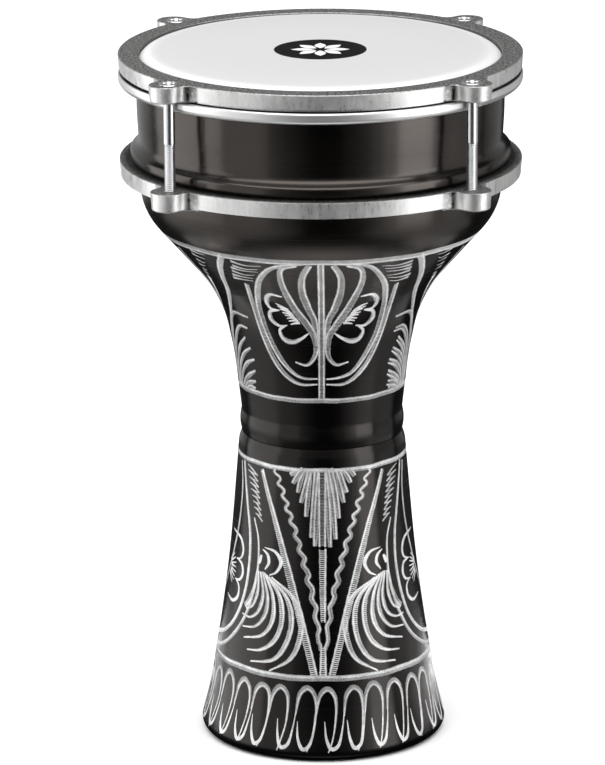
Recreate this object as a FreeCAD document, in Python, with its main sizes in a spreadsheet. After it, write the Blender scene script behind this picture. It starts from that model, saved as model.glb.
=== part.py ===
"""Darbuka: a goblet drum with a screw-tensioned head.

Millimetres, +Z up. The origin is the centre of the foot's rest plane and the
drum's axis is Z. Each sub-part is a PartDesign body whose sizes are bound to
the Dimensions sheet.
"""
import FreeCAD, Part
import math
import os
import Sketcher

Vector = FreeCAD.Vector
doc = FreeCAD.newDocument("Darbuka")
sheet = doc.addObject("Spreadsheet::Sheet", "Dimensions")


class Size:
    """A length that keeps its number and the expression that gives it."""

    def __init__(self, number, text):
        self.number = float(number)
        self.text = text

    def _join(self, other, sign, number):
        return Size(number, f"({self.text} {sign} {as_size(other).text})")

    def __add__(self, other):
        return self._join(other, "+", self.number + as_size(other).number)

    def __sub__(self, other):
        return self._join(other, "-", self.number - as_size(other).number)

    def __mul__(self, other):
        return self._join(other, "*", self.number * as_size(other).number)

    def __truediv__(self, other):
        return self._join(other, "/", self.number / as_size(other).number)

    def __neg__(self):
        return as_size(0) - self


def as_size(value):
    return value if isinstance(value, Size) else Size(value, repr(value))


def dimension(alias, number, note):
    """Write one row of the sheet and return it as a Size."""
    dimension.row += 1
    row = dimension.row
    sheet.set(f"A{row}", alias)
    sheet.set(f"B{row}", str(number))
    sheet.set(f"C{row}", note)
    sheet.setAlias(f"B{row}", alias)
    return Size(number, f"Dimensions.{alias}")


dimension.row = 0

# ---- Driving dimensions -------------------------------------------------

# Drum wall, from the bearing edge down to the anchor ring
wall = dimension("wall_thickness", 2.0, "shell wall")
film_top = dimension("film_top_z", 375.6, "playing surface above the foot")
film = dimension("film_thickness", 0.25, "polyester film")
film_gap = dimension("film_gap", 0.35, "film to bearing edge, all round")
edge_start = dimension("edge_start_r", 88.5, "where the flat head begins to curve down")
edge_curve = dimension("edge_curve_r", 8.8, "rounding of the bearing edge")
edge_lip = dimension("edge_lip_r", 85.5, "free inner edge of the bearing edge")
barrel_r = dimension("barrel_r", 97.35, "widest line of the drum wall")
barrel_z = dimension("barrel_z", 345, "height of that line")
barrel_curve = dimension("barrel_curve_r", 220, "bulge of the drum wall")
flare_r = dimension("flare_r", 96.35, "foot of the drum wall, above the bead")
flare_z = dimension("flare_z", 327.3, "height of that corner")
flare_curve = dimension("flare_curve_r", 5, "sweep from the wall into the bead")
bead_r = dimension("bead_r", 100.9, "bead's outside radius")
bead_top_z = dimension("bead_top_z", 324.4, "bead's upper corner")
bead_curve = dimension("bead_curve_r", 2.4, "bead's rounding")
bead_root_r = dimension("bead_root_r", 96.9, "wall below the bead")

# Bowl and neck: corners of a line that is rounded at each corner
bowl_top_r = dimension("bowl_top_r", 96.6, "wall at the anchor ring's underside")
shoulder_r = dimension("shoulder_r", 94.75, "corner of the bowl's shoulder")
shoulder_z = dimension("shoulder_z", 291.4, "height of that corner")
shoulder_curve = dimension("shoulder_curve_r", 33, "rounding of the shoulder")
throat_r = dimension("throat_r", 53.65, "corner where the bowl runs into the neck")
throat_z = dimension("throat_z", 244.4, "height of that corner")
throat_curve = dimension("throat_curve_r", 75, "rounding of the throat")
neck_r = dimension("neck_r", 46.75, "second, gentler corner of the neck")
neck_z = dimension("neck_z", 212.2, "height of that corner")
neck_curve = dimension("neck_curve_r", 194, "rounding of the neck")

# Waist: two shallow beads, with the seam between the shells in the lower groove
groove_r = dimension("groove_r", 43.1, "bottom of the waist grooves")
upper_groove_z = dimension("upper_groove_z", 180.3, "upper waist groove")
upper_groove_curve = dimension("upper_groove_curve_r", 6, "rounding of that groove")
waist_bead_r = dimension("waist_bead_r", 44.35, "corner of the upper waist bead")
waist_bead_z = dimension("waist_bead_z", 174.2, "height of that corner")
waist_bead_curve = dimension("waist_bead_curve_r", 18, "rounding of that bead")
seam_z = dimension("seam_z", 168, "seam between the two shells")
lower_bead_r = dimension("lower_bead_r", 44.65, "corner of the lower waist bead")
lower_bead_z = dimension("lower_bead_z", 163.3, "height of that corner")
lower_bead_curve = dimension("lower_bead_curve_r", 12, "rounding of that bead")
spigot_r = dimension("spigot_r", 41.15, "spigot of the upper shell")
spigot_bore_r = dimension("spigot_bore_r", 39.3, "inside of the spigot")
spigot_length = dimension("spigot_length", 12, "how far it enters the lower shell")
spigot_gap = dimension("spigot_gap", 0.05, "clearance around the spigot")

# Foot tube
tube_r = dimension("tube_r", 50.9, "corner of the tube's gentle flare")
tube_z = dimension("tube_z", 88.2, "height of that corner")
tube_curve = dimension("tube_curve_r", 970, "rounding of that corner")
flank_r = dimension("flank_r", 61.3, "corner above the foot lip")
flank_z = dimension("flank_z", 23.6, "height of that corner")
flank_curve = dimension("flank_curve_r", 190, "rounding of that corner")
foot_r = dimension("foot_r", 67.45, "corner of the foot lip, before rounding")
foot_curve = dimension("foot_curve_r", 5.4, "rounding of the foot lip")
lip_bore_r = dimension("lip_bore_r", 57, "mouth of the foot")
lip_depth = dimension("lip_depth", 9, "height of the turned-in lip")

# Head: the film's collar slopes out into the flesh hoop's channel
collar_r = dimension("collar_r", 100.4, "film's outer face at its lower edge")
collar_z = dimension("collar_z", 361.3, "film's lower edge")
collar_corner_r = dimension("collar_corner_r", 95, "corner of head and collar")
hoop_r = dimension("hoop_r", 107, "flesh hoop's outside radius")
hoop_bore_r = dimension("hoop_bore_r", 98.4, "flesh hoop's bore")
hoop_bottom_z = dimension("hoop_bottom_z", 359.2, "underside of the flesh hoop")
hoop_top_z = dimension("hoop_top_z", 365.9, "top of the flesh hoop")
hoop_wall = dimension("hoop_wall", 1.15, "thickness of the channel")
hoop_inner_z = dimension("hoop_inner_z", 362.8, "top of the channel's inner wall")
hoop_lip_r = dimension("hoop_lip_r", 103.6, "edge of the channel's curled top")
hoop_curve = dimension("hoop_curve_r", 2.8, "rounding of the channel's outer wall")

# Cast rings and their lugs
ring_r = dimension("ring_r", 107, "tuning ring's outside radius")
ring_mouth_r = dimension("ring_mouth_r", 96, "tuning ring's mouth")
ring_top_z = dimension("ring_top_z", 375, "top of the tuning ring")
ring_bottom_z = dimension("ring_bottom_z", 367.3, "underside of the tuning ring")
ring_flange = dimension("ring_flange", 2.4, "flange over the head")
ring_web_r = dimension("ring_web_r", 99.3, "ring's bore below the flange")
foot_in_r = dimension("foot_in_r", 102.5, "inside of the ring's bearing foot")
foot_out_r = dimension("foot_out_r", 104.6, "outside of that foot")
ring_step = dimension("ring_step", 0.6, "draft of the ring's outside")
anchor_r = dimension("anchor_r", 106.7, "anchor ring's outside radius")
anchor_bore_r = dimension("anchor_bore_r", 97.2, "anchor ring's bore")
anchor_top_z = dimension("anchor_top_z", 318.5, "top of the anchor ring")
anchor_bottom_z = dimension("anchor_bottom_z", 310, "underside of the anchor ring")
lug_half = dimension("lug_half_width", 8.9, "half the width of a lug")
lug_reach = dimension("lug_reach", 14.3, "how far a lug stands out of the ring")
lug_height = dimension("lug_height", 9, "tuning lug, top to underside")
anchor_lug_height = dimension("anchor_lug_height", 10, "anchor lug, top to underside")
lug_curve = dimension("lug_curve_r", 5.8, "hollow between a lug and its ring")
lug_draft = dimension("lug_draft", 4, "draft of the lugs, degrees")
lug_count = dimension("lug_count", 4, "lugs on each ring")
top_round = dimension("top_round_r", 0.4, "broken edges on top of the rings")
under_round = dimension("under_round_r", 1.2, "rounded lower edges of the lugs")

# Tuning screws
screw_circle = dimension("screw_circle_r", 110.2, "radius of the screws' circle")
screw_r = dimension("screw_r", 3, "M6 shank and thread crest")
thread_root_r = dimension("thread_root_r", 2.45, "thread root")
thread_pitch = dimension("thread_pitch", 1, "M6 coarse pitch")
thread_turns = dimension("thread_turns", 32, "turns of thread")
thread_gap = dimension("thread_gap", 0.05, "screw to tapped bore")
head_r = dimension("head_r", 5.3, "screw head")
head_height = dimension("head_height", 3.4, "screw head, seat to crown")
head_crown = dimension("head_crown", 0.4, "how far the head stands over its lug")
shank_gap = dimension("shank_gap", 0.3, "screw to clearance hole")
screw_end_z = dimension("screw_end_z", 311, "tip of the screw")
recess_half = dimension("recess_half_width", 0.65, "half the width of the cross recess")
recess_reach = dimension("recess_reach", 2.5, "half the length of the cross recess")
recess_depth = dimension("recess_depth", 2, "depth of the cross recess")

film_bottom = film_top - film
edge_top = film_bottom - film_gap
doc.recompute()


# ---- Sketch and feature helpers -----------------------------------------

def new_body(label):
    body = doc.addObject("PartDesign::Body", label)
    body.Label = label
    return body


def origin_feature(body, role):
    return next(f for f in body.Origin.OriginFeatures if f.Role == role)


def rounding(before, corner, after, radius):
    """Tangent points, centre and turn of an arc that rounds a corner."""
    to_before = (before - corner).normalize()
    to_after = (after - corner).normalize()
    half = to_before.getAngle(to_after) / 2
    reach = radius / math.tan(half)
    middle = (to_before + to_after).normalize()
    centre = corner + middle * (radius / math.sin(half))
    start = corner + to_before * reach
    end = corner + to_after * reach
    left_turn = (corner - before).cross(after - corner).z > 0
    return start, end, centre, left_turn


def outline(body, name, corners, plane="XZ_Plane", height=None):
    """A closed outline of straight lines, rounded where a corner has a radius.

    Each corner is (across, up) or (across, up, radius). The corners and radii
    are bound to the sheet, and the lines meet their arcs tangentially.
    """
    sketch = body.newObject("Sketcher::SketchObject", name)
    sketch.AttachmentSupport = [(origin_feature(body, plane), "")]
    sketch.MapMode = "FlatFace"
    if height is not None:
        sketch.setExpression("AttachmentOffset.Base.z", height.text)
    corners = [tuple(as_size(part) for part in corner) for corner in corners]
    points = [Vector(c[0].number, c[1].number, 0) for c in corners]
    count = len(corners)
    arcs = {}
    for i, corner in enumerate(corners):
        if len(corner) == 3:
            arcs[i] = rounding(points[i - 1], points[i], points[(i + 1) % count], corner[2].number)

    # Line i runs from corner i to the next corner.
    for i in range(count):
        following = (i + 1) % count
        start = arcs[i][1] if i in arcs else points[i]
        end = arcs[following][0] if following in arcs else points[following]
        sketch.addGeometry(Part.LineSegment(start, end), False)
    constraints = []
    bound = []

    def place(geometry, vertex, corner):
        """Hold a point at a corner's place, on an axis where the place is 0."""
        for kind, axis, part in (("DistanceX", -2, corner[0]), ("DistanceY", -1, corner[1])):
            if part.number == 0:
                constraints.append(Sketcher.Constraint("PointOnObject", geometry, vertex, axis))
            else:
                bound.append((len(constraints), part.text))
                values = (kind, -1, 1, geometry, vertex, part.number)
                constraints.append(Sketcher.Constraint(*values))

    for i, corner in enumerate(corners):
        line_in = (i - 1) % count
        if i not in arcs:
            constraints.append(Sketcher.Constraint("Coincident", line_in, 2, i, 1))
            place(i, 1, corner)
            continue
        start, end, centre, left_turn = arcs[i]
        first, last = (start, end) if left_turn else (end, start)
        angles = [math.atan2(p.y - centre.y, p.x - centre.x) for p in (first, last)]
        circle = Part.Circle(centre, Vector(0, 0, 1), corner[2].number)
        arc = sketch.addGeometry(Part.ArcOfCircle(circle, *angles), False)
        point = sketch.addGeometry(Part.Point(points[i]), True)
        arc_in, arc_out = (1, 2) if left_turn else (2, 1)
        constraints.append(Sketcher.Constraint("Tangent", line_in, 2, arc, arc_in))
        constraints.append(Sketcher.Constraint("Tangent", arc, arc_out, i, 1))
        constraints.append(Sketcher.Constraint("PointOnObject", point, 1, line_in))
        constraints.append(Sketcher.Constraint("PointOnObject", point, 1, i))
        bound.append((len(constraints), corner[2].text))
        constraints.append(Sketcher.Constraint("Radius", arc, corner[2].number))
        place(point, 1, corner)
    sketch.addConstraint(constraints)
    for index, text in bound:
        sketch.setExpression(f"Constraints[{index}]", text)
    if sketch.solve() != 0:
        raise RuntimeError(f"{body.Label}: outline {name} doesn't solve")
    return sketch


def revolve(body, sketch):
    feature = body.newObject("PartDesign::Revolution", f"{sketch.Name}_turned")
    feature.Profile = sketch
    feature.ReferenceAxis = (sketch, ["V_Axis"])
    feature.Angle = 360
    doc.recompute()
    return feature


def circle_sketch(body, name, centre_x, radius, height):
    """One circle, centred on the body's X axis, in a level plane."""
    sketch = body.newObject("Sketcher::SketchObject", name)
    sketch.AttachmentSupport = [(origin_feature(body, "XY_Plane"), "")]
    sketch.MapMode = "FlatFace"
    sketch.setExpression("AttachmentOffset.Base.z", height.text)
    centre = Vector(centre_x.number, 0, 0)
    sketch.addGeometry(Part.Circle(centre, Vector(0, 0, 1), radius.number), False)
    sketch.addConstraint(Sketcher.Constraint("PointOnObject", 0, 3, -1))
    across = sketch.addConstraint(Sketcher.Constraint("DistanceX", -1, 1, 0, 3, centre_x.number))
    size = sketch.addConstraint(Sketcher.Constraint("Radius", 0, radius.number))
    sketch.setExpression(f"Constraints[{across}]", centre_x.text)
    sketch.setExpression(f"Constraints[{size}]", radius.text)
    return sketch


def pocket_down(body, sketch, depth):
    """Cut straight down from a sketch, and make sure that it removed material."""
    before = body.Shape.Volume
    feature = body.newObject("PartDesign::Pocket", f"{sketch.Name}_cut")
    feature.Profile = sketch
    feature.setExpression("Length", depth.text)
    doc.recompute()
    if not body.Shape.Volume < before - 0.1:
        raise RuntimeError(f"{body.Label}: {sketch.Name} cut nothing")
    return feature


def edges_at(feature, height, keep):
    """Names of the level edges at a height whose outline passes a test."""
    names = []
    for number, edge in enumerate(feature.Shape.Edges, 1):
        box = edge.BoundBox
        level = abs(box.ZMin - height) < 1e-3 and abs(box.ZMax - height) < 1e-3
        if level and keep(box):
            names.append(f"Edge{number}")
    return names


def soften(body, feature, names, size, kind="Fillet"):
    """Round or bevel edges by a size from the sheet."""
    softened = body.newObject(f"PartDesign::{kind}", f"{kind}Edges")
    softened.Base = (feature, names)
    softened.setExpression("Radius" if kind == "Fillet" else "Size", size.text)
    doc.recompute()
    return softened


# ---- Shells -------------------------------------------------------------

def upper_shell():
    """Bearing edge, drum wall with its bead, bowl, neck and spigot."""
    body = new_body("upper_shell")
    spigot_end = seam_z - spigot_length
    outside = [
        (edge_lip, edge_top),
        (edge_start + edge_curve, edge_top, edge_curve),
        (barrel_r, barrel_z, barrel_curve),
        (flare_r, flare_z, flare_curve),
        (bead_r, bead_top_z, bead_curve),
        (bead_r, anchor_top_z, bead_curve),
        (bead_root_r, anchor_top_z),
        (bowl_top_r, anchor_bottom_z),
        (shoulder_r, shoulder_z, shoulder_curve),
        (throat_r, throat_z, throat_curve),
        (neck_r, neck_z, neck_curve),
        (groove_r, upper_groove_z, upper_groove_curve),
        (waist_bead_r, waist_bead_z, waist_bead_curve),
        (groove_r, seam_z),
        (spigot_r, seam_z),
        (spigot_r, spigot_end),
    ]
    inside = [
        (spigot_bore_r, spigot_end),
        (spigot_bore_r, upper_groove_z),
        (neck_r - wall, neck_z, neck_curve - wall),
        (throat_r - wall, throat_z + wall, throat_curve + wall),
        (shoulder_r - wall, shoulder_z + wall, shoulder_curve - wall),
        (edge_start + edge_curve - wall - wall, anchor_bottom_z, barrel_curve),
        (edge_start + edge_curve - wall, edge_top - wall, edge_curve - wall),
        (edge_lip, edge_top - wall),
    ]
    revolve(body, outline(body, "UpperShellSection", outside + inside))
    return body


def lower_shell():
    """Socket for the spigot, flared foot tube and turned-in foot lip."""
    body = new_body("lower_shell")
    socket_r = spigot_r + spigot_gap
    socket_end = seam_z - spigot_length
    section = [
        (groove_r, seam_z),
        (lower_bead_r, lower_bead_z, lower_bead_curve),
        (tube_r, tube_z, tube_curve),
        (flank_r, flank_z, flank_curve),
        (foot_r, 0, foot_curve),
        (lip_bore_r, 0, wall / 2),
        (lip_bore_r, lip_depth, wall),
        (flank_r + wall / 4, lip_depth + wall * 2, wall),
        (flank_r - wall, flank_z),
        (tube_r - wall, tube_z, tube_curve),
        (lower_bead_r - wall + wall / 10, socket_end - wall),
        (socket_r, socket_end),
        (socket_r, seam_z),
    ]
    revolve(body, outline(body, "LowerShellSection", section))
    return body


# ---- Head: film, flesh hoop and resin -----------------------------------

collar_slope = (collar_r - collar_corner_r) / (film_top - collar_z)
film_across = film * math.sqrt(1 + collar_slope.number ** 2)
film_corner_shift = film * math.tan((math.pi / 2 - math.atan(collar_slope.number)) / 2)


def collar_face(height, inner):
    """Radius of the film's collar at a height, on its outer or inner face."""
    outer = collar_r - (height - collar_z) * collar_slope
    return outer - film_across if inner else outer


def drumhead_film():
    """Flat head that curves over the bearing edge and slopes out to its hoop."""
    body = new_body("drumhead_film")
    head_curve = edge_curve + film_gap + film
    section = [
        (0, film_top),
        (collar_corner_r, film_top, head_curve),
        (collar_r, collar_z),
        (collar_face(collar_z, True), collar_z),
        (collar_corner_r - film_corner_shift, film_bottom, head_curve - film),
        (0, film_bottom),
    ]
    revolve(body, outline(body, "FilmSection", section))
    return body


def flesh_hoop():
    """Aluminium channel, open at its top inner side, with a curled outer lip."""
    body = new_body("flesh_hoop")
    channel_in = hoop_bore_r + hoop_wall
    channel_out = hoop_r - hoop_wall
    channel_floor = hoop_bottom_z + hoop_wall
    channel_roof = hoop_top_z - hoop_wall
    section = [
        (hoop_bore_r, hoop_bottom_z, hoop_wall),
        (hoop_r, hoop_bottom_z, hoop_curve),
        (hoop_r, hoop_top_z, hoop_curve - hoop_wall / 2),
        (hoop_lip_r, hoop_top_z),
        (hoop_lip_r, channel_roof),
        (channel_out, channel_roof),
        (channel_out, channel_floor, hoop_curve - hoop_wall),
        (channel_in, channel_floor),
        (channel_in, hoop_inner_z),
        (hoop_bore_r, hoop_inner_z),
    ]
    revolve(body, outline(body, "HoopSection", section))
    return body


def hoop_resin():
    """Cast filling of the channel, with the film's edge set in it."""
    body = new_body("hoop_resin")
    channel_in = hoop_bore_r + hoop_wall
    channel_out = hoop_r - hoop_wall
    channel_floor = hoop_bottom_z + hoop_wall
    channel_roof = hoop_top_z - hoop_wall
    section = [
        (channel_in, channel_floor),
        (channel_out, channel_floor, hoop_curve - hoop_wall),
        (channel_out, channel_roof),
        (collar_face(channel_roof, False), channel_roof),
        (collar_r, collar_z),
        (collar_face(collar_z, True), collar_z),
        (collar_face(hoop_inner_z, True), hoop_inner_z),
        (channel_in, hoop_inner_z),
    ]
    revolve(body, outline(body, "ResinSection", section))
    return body


# ---- Cast rings ---------------------------------------------------------

def add_lugs(body, outer_r, top, height, holes):
    """Pad one lug, drill it, and repeat lug and holes around the ring."""
    root = lug_half + lug_curve
    inner = outer_r - lug_curve
    bury = 0.5
    side = outer_r - math.sqrt(outer_r.number ** 2 - root.number ** 2)
    root_x = outer_r - side.number - bury
    tip = outer_r + lug_reach
    shape = [
        (inner, -root),
        (root_x, -root),
        (outer_r - bury, -lug_half, lug_curve - bury),
        (tip, -lug_half, lug_half - bury / 10),
        (tip, lug_half, lug_half - bury / 10),
        (outer_r - bury, lug_half, lug_curve - bury),
        (root_x, root),
        (inner, root),
    ]
    sketch = outline(body, "LugOutline", shape, "XY_Plane", top)
    lug = body.newObject("PartDesign::Pad", "Lug")
    lug.Profile = sketch
    lug.Reversed = True
    lug.setExpression("Length", height.text)
    lug.setExpression("TaperAngle", f"-{lug_draft.text}")
    doc.recompute()
    repeated = [lug]
    for name, radius, depth in holes:
        hole = circle_sketch(body, name, screw_circle, radius, top)
        repeated.append(pocket_down(body, hole, depth))
    pattern = body.newObject("PartDesign::PolarPattern", "Lugs")
    pattern.Originals = repeated
    pattern.Axis = (sketch, ["N_Axis"])
    pattern.Angle = 360
    pattern.setExpression("Occurrences", lug_count.text)
    body.Tip = pattern
    doc.recompute()
    return pattern


def at_eighth_turn(body):
    """Turn a ring so that its lugs stand between the X and Y axes."""
    body.Placement = FreeCAD.Placement(Vector(), FreeCAD.Rotation(Vector(0, 0, 1), 45))


def not_a_hole(box):
    """True unless an edge's box is centred on a screw, as a hole's is."""
    near, far = sorted((abs(box.Center.x), abs(box.Center.y)))
    return near > 1 or abs(far - screw_circle.number) > 1


def lug_underside(box):
    """True for an edge of a lug that stands clear of its ring."""
    return not_a_hole(box) and math.hypot(box.Center.x, box.Center.y) > ring_r.number + 1


def soften_casting(body, ring, top, lug_end, top_kind):
    """Break every edge of the top face and round the lugs' lower edges."""
    upper = edges_at(ring, top.number, not_a_hole)
    ring = soften(body, ring, upper, top_round, top_kind)
    under = edges_at(ring, lug_end.number, lug_underside)
    return soften(body, ring, under, under_round)


def tuning_ring():
    """Cast ring that bears on the flesh hoop and takes the screw heads."""
    body = new_body("tuning_ring")
    section = [
        (ring_mouth_r, ring_top_z),
        (ring_r, ring_top_z),
        (ring_r - ring_step, ring_bottom_z),
        (foot_out_r, ring_bottom_z),
        (foot_out_r, hoop_top_z),
        (foot_in_r, hoop_top_z),
        (foot_in_r, ring_bottom_z),
        (ring_web_r, ring_bottom_z),
        (ring_web_r, ring_top_z - ring_flange),
        (ring_mouth_r, ring_top_z - ring_flange),
    ]
    revolve(body, outline(body, "TuningRingSection", section))
    seat_depth = head_height - head_crown
    holes = [
        ("ScrewHole", screw_r + shank_gap, lug_height + thread_pitch),
        ("HeadSeat", head_r + shank_gap, seat_depth),
    ]
    ring = add_lugs(body, ring_r, ring_top_z, lug_height, holes)
    soften_casting(body, ring, ring_top_z, ring_top_z - lug_height, "Chamfer")
    at_eighth_turn(body)
    return body


def anchor_ring():
    """Cast ring that hooks under the shell's bead and takes the threads."""
    body = new_body("anchor_ring")
    section = [
        (anchor_bore_r, anchor_top_z),
        (anchor_r, anchor_top_z),
        (anchor_r - ring_step, anchor_bottom_z),
        (anchor_bore_r, anchor_bottom_z),
    ]
    revolve(body, outline(body, "AnchorRingSection", section))
    holes = [("TappedHole", screw_r + thread_gap, anchor_lug_height + thread_pitch)]
    ring = add_lugs(body, anchor_r, anchor_top_z, anchor_lug_height, holes)
    soften_casting(body, ring, anchor_top_z, anchor_top_z - anchor_lug_height, "Fillet")
    at_eighth_turn(body)
    return body


# ---- Tuning screws ------------------------------------------------------

def tuning_screw(label, degrees):
    """M6 screw: low round head with a cross recess, plain shank, thread."""
    body = new_body(label)
    crown = ring_top_z + head_crown
    seat = crown - head_height
    section = [
        (0, crown),
        (head_r, crown, head_crown * 2),
        (head_r, seat),
        (screw_r, seat),
        (screw_r, screw_end_z + thread_pitch),
        (thread_root_r, screw_end_z),
        (0, screw_end_z),
    ]
    revolve(body, outline(body, "ScrewSection", section))

    # Ring grooves stand in for the helix of the thread.
    first = screw_end_z + thread_pitch * 1.5
    flank = thread_pitch * 0.42
    past = screw_r + thread_gap
    tooth = [(thread_root_r, first), (past, first - flank), (past, first + flank)]
    groove_sketch = outline(body, "ThreadGroove", tooth)
    before = body.Shape.Volume
    groove = body.newObject("PartDesign::Groove", "Groove")
    groove.Profile = groove_sketch
    groove.ReferenceAxis = (groove_sketch, ["V_Axis"])
    groove.Angle = 360
    doc.recompute()
    pattern = body.newObject("PartDesign::LinearPattern", "Thread")
    pattern.Originals = [groove]
    pattern.Direction = (groove_sketch, ["V_Axis"])
    pattern.setExpression("Length", f"{thread_pitch.text} * ({thread_turns.text} - 1)")
    pattern.setExpression("Occurrences", thread_turns.text)
    body.Tip = pattern
    doc.recompute()
    if not body.Shape.Volume < before - 1:
        raise RuntimeError(f"{label}: the thread cut nothing")

    long, slim = recess_reach, recess_half
    cross = [
        (long, -slim), (long, slim), (slim, slim), (slim, long),
        (-slim, long), (-slim, slim), (-long, slim), (-long, -slim),
        (-slim, -slim), (-slim, -long), (slim, -long), (slim, -slim),
    ]
    pocket_down(body, outline(body, "CrossRecess", cross, "XY_Plane", crown), recess_depth)
    rotation = FreeCAD.Rotation(Vector(0, 0, 1), degrees)
    body.Placement = FreeCAD.Placement(Vector(), rotation)
    body.setExpression("Placement.Base.x", f"{screw_circle.text} * cos({degrees} deg)")
    body.setExpression("Placement.Base.y", f"{screw_circle.text} * sin({degrees} deg)")
    doc.recompute()
    return body


# ---- Build, check and write ---------------------------------------------

SCREW_ANGLES = {
    "tuning_screw_front_left": 225,
    "tuning_screw_front_right": 315,
    "tuning_screw_back_right": 45,
    "tuning_screw_back_left": 135,
}

parts = [
    upper_shell(),
    lower_shell(),
    drumhead_film(),
    flesh_hoop(),
    hoop_resin(),
    tuning_ring(),
    anchor_ring(),
]
parts += [tuning_screw(label, degrees) for label, degrees in SCREW_ANGLES.items()]
doc.recompute()

for item in doc.Objects:
    if "Invalid" in item.State or "Error" in item.State:
        raise RuntimeError(f"{item.Label} failed: {item.State}")
os.makedirs("parts", exist_ok=True)
for body in parts:
    shape = body.Shape
    if shape.isNull() or not shape.isValid():
        raise RuntimeError(f"{body.Label}: no valid shape")
    print(f"{body.Label}: {len(shape.Solids)} solid, {shape.Volume / 1000:.2f} cm3")
    shape.exportStep(f"parts/{body.Label}.step")
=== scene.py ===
import bisect
import math
import random

import bpy
from mathutils import Matrix, Vector


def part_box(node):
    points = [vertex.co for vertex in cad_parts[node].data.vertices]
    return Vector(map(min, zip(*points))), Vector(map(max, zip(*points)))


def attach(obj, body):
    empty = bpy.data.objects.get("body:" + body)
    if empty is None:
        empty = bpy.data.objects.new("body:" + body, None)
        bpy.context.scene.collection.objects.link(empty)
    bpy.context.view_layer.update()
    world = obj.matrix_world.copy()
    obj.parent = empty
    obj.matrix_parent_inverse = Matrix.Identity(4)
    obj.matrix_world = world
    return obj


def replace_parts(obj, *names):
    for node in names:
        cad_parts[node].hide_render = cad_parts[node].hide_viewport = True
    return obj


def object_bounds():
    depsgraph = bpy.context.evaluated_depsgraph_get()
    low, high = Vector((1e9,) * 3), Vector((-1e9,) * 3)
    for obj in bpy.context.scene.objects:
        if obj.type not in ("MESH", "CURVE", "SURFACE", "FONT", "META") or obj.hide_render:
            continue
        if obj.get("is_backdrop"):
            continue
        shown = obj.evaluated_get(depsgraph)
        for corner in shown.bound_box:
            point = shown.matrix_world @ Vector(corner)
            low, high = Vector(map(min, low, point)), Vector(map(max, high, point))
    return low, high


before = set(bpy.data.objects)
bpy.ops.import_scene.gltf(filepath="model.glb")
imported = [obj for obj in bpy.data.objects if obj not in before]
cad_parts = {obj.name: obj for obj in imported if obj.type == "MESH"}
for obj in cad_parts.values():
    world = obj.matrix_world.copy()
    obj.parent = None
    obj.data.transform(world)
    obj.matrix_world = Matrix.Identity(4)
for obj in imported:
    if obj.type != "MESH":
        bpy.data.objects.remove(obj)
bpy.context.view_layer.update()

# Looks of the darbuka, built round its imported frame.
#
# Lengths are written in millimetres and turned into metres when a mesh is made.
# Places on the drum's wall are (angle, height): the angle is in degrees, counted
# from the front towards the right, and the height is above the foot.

MM = 0.001
SHELL = "shell"
HEAD = "head"


def node_size(node):
    """Largest radius, lowest height and highest height of a CAD node, in mm."""
    low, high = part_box(node)
    return high.x / MM, low.z / MM, high.z / MM


# ---- Sizes, from the frame ----------------------------------------------
FILM_TOP = node_size("drumhead_film")[2]
SEAM_Z = node_size("lower_shell")[2]
EDGE_TOP = node_size("upper_shell")[2]
ANCHOR_BOTTOM = node_size("anchor_ring")[1]
BEAD_R = node_size("upper_shell")[0]
HOOP_TOP = node_size("flesh_hoop")[2]
WALL = 2.0
GROOVE_R = 43.1

# Outside of the wall, from the bearing edge down to the seam and then to the
# foot. Each corner is (radius, height) or (radius, height, rounding).
UPPER_OUTSIDE = [
    (85.5, EDGE_TOP),
    (97.3, EDGE_TOP, 8.8),
    (97.35, 345, 220),
    (96.35, 327.3, 5),
    (BEAD_R, 324.4, 2.4),
    (BEAD_R, 318.5, 2.4),
    (96.9, 318.5),
    (96.6, ANCHOR_BOTTOM),
    (94.75, 291.4, 33),
    (53.65, 244.4, 75),
    (46.75, 212.2, 194),
    (GROOVE_R, 180.3, 6),
    (44.35, 174.2, 18),
    (GROOVE_R, SEAM_Z + 0.2),
    (GROOVE_R - 0.3, SEAM_Z),
]
UPPER_INSIDE = [
    (39.3, SEAM_Z),
    (39.3, 180.3),
    (46.75 - WALL, 212.2, 192),
    (53.65 - WALL, 244.4 + WALL, 77),
    (94.75 - WALL, 291.4 + WALL, 31),
    (93.3, ANCHOR_BOTTOM, 220),
    (95.3, EDGE_TOP - WALL, 6.8),
    (85.5, EDGE_TOP - WALL),
]
LOWER_OUTSIDE = [
    (GROOVE_R - 0.3, SEAM_Z),
    (GROOVE_R, SEAM_Z - 0.2),
    (44.65, 163.3, 12),
    (50.9, 88.2, 970),
    (61.3, 23.6, 190),
    (67.45, 0, 5.4),
]
LOWER_INSIDE = [
    (57, 0, 1),
    (57, 9, 2),
    (61.8, 13, 2),
    (59.3, 23.6),
    (48.9, 88.2, 970),
    (42.85, 154),
    (41.2, 156),
    (41.2, SEAM_Z),
]


# ---- Mesh helpers --------------------------------------------------------
class Gather:
    """Corners and faces of one piece, gathered in millimetres."""

    def __init__(self):
        self.corners = []
        self.faces = []

    def add(self, corners, faces):
        first = len(self.corners)
        self.corners.extend(corners)
        self.faces.extend([first + i for i in face] for face in faces)

    def piece(self, name, body, material, sharp_degrees=35):
        mesh = bpy.data.meshes.new(name)
        mesh.from_pydata([[c * MM for c in corner] for corner in self.corners], [], self.faces)
        mesh.validate()
        mesh.polygons.foreach_set("use_smooth", [True] * len(mesh.polygons))
        mesh.set_sharp_from_angle(angle=math.radians(sharp_degrees))
        mesh.materials.append(material)
        made = bpy.data.objects.new(name, mesh)
        bpy.context.scene.collection.objects.link(made)
        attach(made, body)
        return made


LARGEST_STEP = math.radians(9)


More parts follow.
